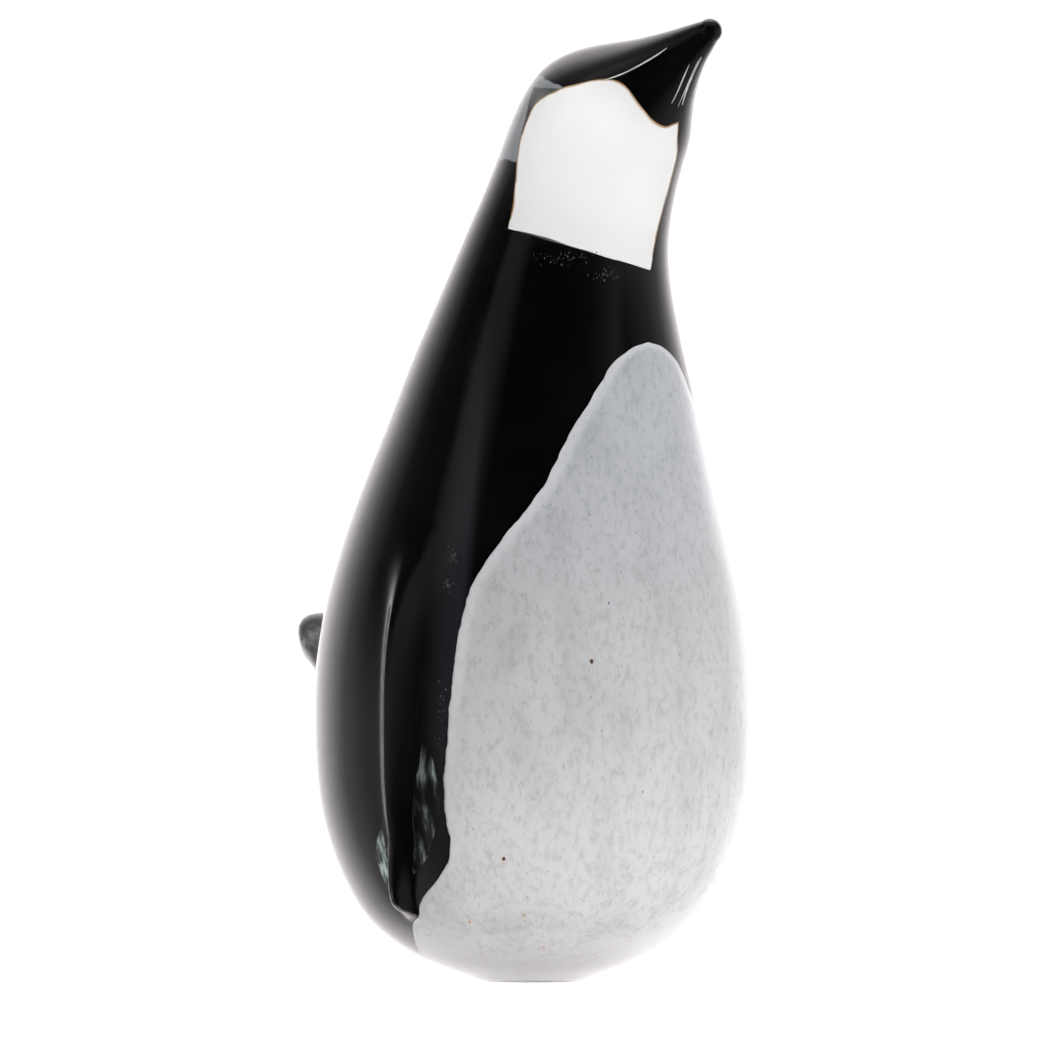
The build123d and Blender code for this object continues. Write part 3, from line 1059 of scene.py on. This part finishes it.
class PENGUIN_OT_specks(bpy.types.Operator):
    """Scatters the tiny bubbles in the clear glass and the chips in the breast"""

    bl_idname = "penguin.specks"
    bl_label = "Bubbles and chips"

    def execute(self, context):
        self.bubbles()
        self.chips()
        return {"FINISHED"}

    def bubbles(self):
        """Swarms of bubbles at three depths, with a silvery painted reflection that is brighter on
        some than on others.
        """
        dice = np.random.default_rng(7)
        layers = [colour_layer(lift, 300) for lift in (0.5, 1.0, 1.5)]
        made = bmesh.new()
        for (u, v), (wide, tall), share in SWARMS:
            for _ in range(int(settings().seeds * share)):
                spot = (u + dice.normal() * wide * 0.5, v + dice.normal() * tall * 0.5)
                point = quarter_point(layers[dice.integers(3)], *spot)
                size = 0.00006 + 0.00008 * dice.random() ** 2
                self.drop(made, point, size, 1 + dice.random() * 1.2, dice.random() * 9)
        skin = coloured_glass("bubble_painted_reflection", (0.02, 0.02, 0.022), (0.16, 0.16, 0.17), 900)
        self.scattered("seed_bubbles", made, skin, "clear_glass")

    def chips(self):
        """Single lumps of other colours in the breast."""
        layer = colour_layer(0.2, 500)
        for number, (u, v, size, colour) in enumerate(CHIPS):
            made = bmesh.new()
            self.drop(made, quarter_point(layer, u, v), size * MM * 0.5, 1.3, number * 2.7)
            soft = tuple(min(c * 1.8, 1) for c in colour)
            glass = coloured_glass("chip_glass_%d" % number, colour, soft, 1500)
            self.scattered("chip_%d" % number, made, glass, "speckled_glass")

    def drop(self, made, point, size, stretch, seed):
        """A small lump, drawn out upwards and uneven all round."""
        ball = bmesh.ops.create_icosphere(made, subdivisions=2, radius=size)["verts"]
        for vert in ball:
            uneven = 1 + 0.3 * noise.noise(vert.co / size * 1.3 + Vector((seed, seed, seed)))
            vert.co = Vector((vert.co.x, vert.co.y, vert.co.z * stretch)) * uneven + point

    def scattered(self, name, made, material, slot):
        """One piece of all the lumps that were made."""
        mesh = bpy.data.meshes.new(name)
        made.to_mesh(mesh)
        made.free()
        add_mesh(name, mesh, material)


# Camera: lens and width of its sensor in mm, tilt, distance and aim in metres
LENS = 720
SENSOR = 36
CAMERA_TILT = radians(0.8)
CAMERA_DISTANCE = 4.362
AIM_ACROSS = -0.00166
AIM_HEIGHT = 0.0951

# Light round the horizon, by degrees from the camera towards the right: above eye level
# and below it
LIGHT_HIGH = (
    (-180, 1.0), (-150, 1.0), (-135, 0.60), (-120, 0.26), (-106, 0.06), (-92, 0.030),
    (-74, 0.025), (-67, 0.14), (-50, 0.13), (-42, 0.06), (-36, 0.008), (0, 0.006),
    (34, 0.012), (48, 0.06), (60, 0.13), (72, 0.05), (90, 0.09), (105, 0.13),
    (120, 0.24), (135, 0.50), (150, 1.0), (180, 1.0),
)
LIGHT_LOW = (
    (-180, 1.0), (-150, 1.0), (-135, 0.75), (-120, 0.38), (-100, 0.24), (-80, 0.24),
    (-66, 0.16), (-40, 0.05), (-20, 0.02), (30, 0.02), (60, 0.15), (100, 0.24),
    (120, 0.32), (150, 1.0), (180, 1.0),
)


class PENGUIN_OT_studio(bpy.types.Operator):
    """Sets the pale floor, the soft studio light and the camera"""

    bl_idname = "penguin.studio"
    bl_label = "Studio"

    def execute(self, context):
        scene = context.scene
        scene.view_settings.view_transform = "Standard"
        self.floor()
        scene.world = self.light()
        camera = bpy.data.objects.new("camera", bpy.data.cameras.new("camera"))
        scene.collection.objects.link(camera)
        camera.data.lens = LENS
        camera.data.sensor_width = SENSOR
        flat = cos(CAMERA_TILT)
        back = Vector((-sin(QUARTER) * flat, -cos(QUARTER) * flat, sin(CAMERA_TILT)))
        aim = Vector((cos(QUARTER), -sin(QUARTER), 0)) * AIM_ACROSS
        camera.location = aim + Vector((0, 0, AIM_HEIGHT)) + back * CAMERA_DISTANCE
        camera.rotation_mode = "QUATERNION"
        camera.rotation_quaternion = (-back).to_track_quat("-Z", "Y")
        camera.data.clip_start = 0.01
        scene.camera = camera
        return {"FINISHED"}

    def floor(self):
        """Round floor that the camera sees as white, just below the figurine."""
        made = bmesh.new()
        radius = settings().floor_width / 2
        bmesh.ops.create_circle(made, cap_ends=True, segments=96, radius=radius)
        mesh = bpy.data.meshes.new("studio_floor")
        made.to_mesh(mesh)
        made.free()
        piece = bpy.data.objects.new("studio_floor", mesh)
        piece.location.z = -0.0002
        bpy.context.scene.collection.objects.link(piece)
        material, tree = new_material("pale_floor")
        colour = ramp(cloud(tree, 8, 3), ((0.3, 0.74), (0.7, 0.78)))
        without_shine(material, colour, 1.0)
        inputs = tree.nodes["shader"].inputs
        inputs["Emission Color"].default_value = (1, 1, 1, 1)
        path = tree.nodes.new("ShaderNodeLightPath")
        tree.links.new(path.outputs["Is Camera Ray"], inputs["Emission Strength"])
        mesh.materials.append(material)
        piece.visible_glossy = False

    def light(self):
        """White surround with a dark gap and soft strips where the reflections look."""
        world = bpy.data.worlds.new("studio")
        world.use_nodes = True
        tree = world.node_tree
        tree.nodes.clear()
        output = tree.nodes.new("ShaderNodeOutputWorld")
        background = tree.nodes.new("ShaderNodeBackground")
        tree.links.new(background.outputs[0], output.inputs[0])
        place = tree.nodes.new("ShaderNodeTexCoord")
        turn = tree.nodes.new("ShaderNodeMapping")
        turn.vector_type = "POINT"
        turn.inputs["Rotation"].default_value = (0, 0, QUARTER)
        tree.links.new(place.outputs["Generated"], turn.inputs["Vector"])
        split = tree.nodes.new("ShaderNodeSeparateXYZ")
        tree.links.new(turn.outputs["Vector"], split.inputs[0])
        # After the turn -Y points from the bird to the camera and +X to its right
        across, depth, up = split.outputs
        angle = math("ARCTAN2", across, times(depth, -1))
        share = plus(divided(angle, 2 * pi), 0.5)
        low, high = (
            ramp(share, [((degrees + 180) / 360, light) for degrees, light in stops])
            for stops in (LIGHT_LOW, LIGHT_HIGH)
        )
        rising = plus(times(up, 3.2), 0.05, clamp=True)
        side = mixed(rising, low, high)
        top = ramp(up, ((0.62, 0.0), (0.9, 0.16)))
        side = mixed(1.0, side, top, "ADD")
        seen = mixed(1.0, side, (1.80, 1.72, 1.74, 1), "MULTIPLY")
        path = tree.nodes.new("ShaderNodeLightPath")
        scattered = math("GREATER_THAN", path.outputs["Diffuse Depth"], 0.5)
        fill = ramp(plus(times(across, 0.5), 0.5), ((0.0, 0.53), (1.0, 1.17)))
        fill = mixed(1.0, fill, (2.30, 2.30, 2.30, 1), "MULTIPLY")
        around = mixed(scattered, seen, fill)
        final = mixed(path.outputs["Is Camera Ray"], around, (1, 1, 1, 1))
        tree.links.new(final, background.inputs["Color"])
        return world


class PENGUIN_PT_panel(bpy.types.Panel):
    """Lists the figurine's pieces in the sidebar"""

    bl_label = "Cased glass penguin"
    bl_idname = "PENGUIN_PT_panel"
    bl_space_type = "VIEW_3D"
    bl_region_type = "UI"
    bl_category = "Penguin"

    def draw(self, context):
        for key in PenguinGlassSettings.__annotations__:
            self.layout.prop(context.scene.penguin_glass, key)
        for made in OPERATORS:
            self.layout.operator(made.bl_idname)


OPERATORS = (
    PENGUIN_OT_casing,
    PENGUIN_OT_black,
    PENGUIN_OT_breast,
    PENGUIN_OT_face,
    PENGUIN_OT_nape,
    PENGUIN_OT_webs,
    PENGUIN_OT_threads,
    PENGUIN_OT_specks,
    PENGUIN_OT_studio,
)
CLASSES = (PenguinGlassSettings, *OPERATORS, PENGUIN_PT_panel)


def register():
    for item in CLASSES:
        bpy.utils.register_class(item)
    bpy.types.Scene.penguin_glass = PointerProperty(type=PenguinGlassSettings)


def unregister():
    del bpy.types.Scene.penguin_glass
    for item in reversed(CLASSES):
        bpy.utils.unregister_class(item)


def main():
    """Makes every piece in order."""
    register()
    bpy.ops.penguin.casing()
    bpy.ops.penguin.black()
    bpy.ops.penguin.breast()
    bpy.ops.penguin.face()
    bpy.ops.penguin.nape()
    bpy.ops.penguin.webs()
    bpy.ops.penguin.threads()
    bpy.ops.penguin.specks()
    bpy.ops.penguin.studio()
    bpy.context.view_layer.update()


if __name__ == "__main__":
    main()
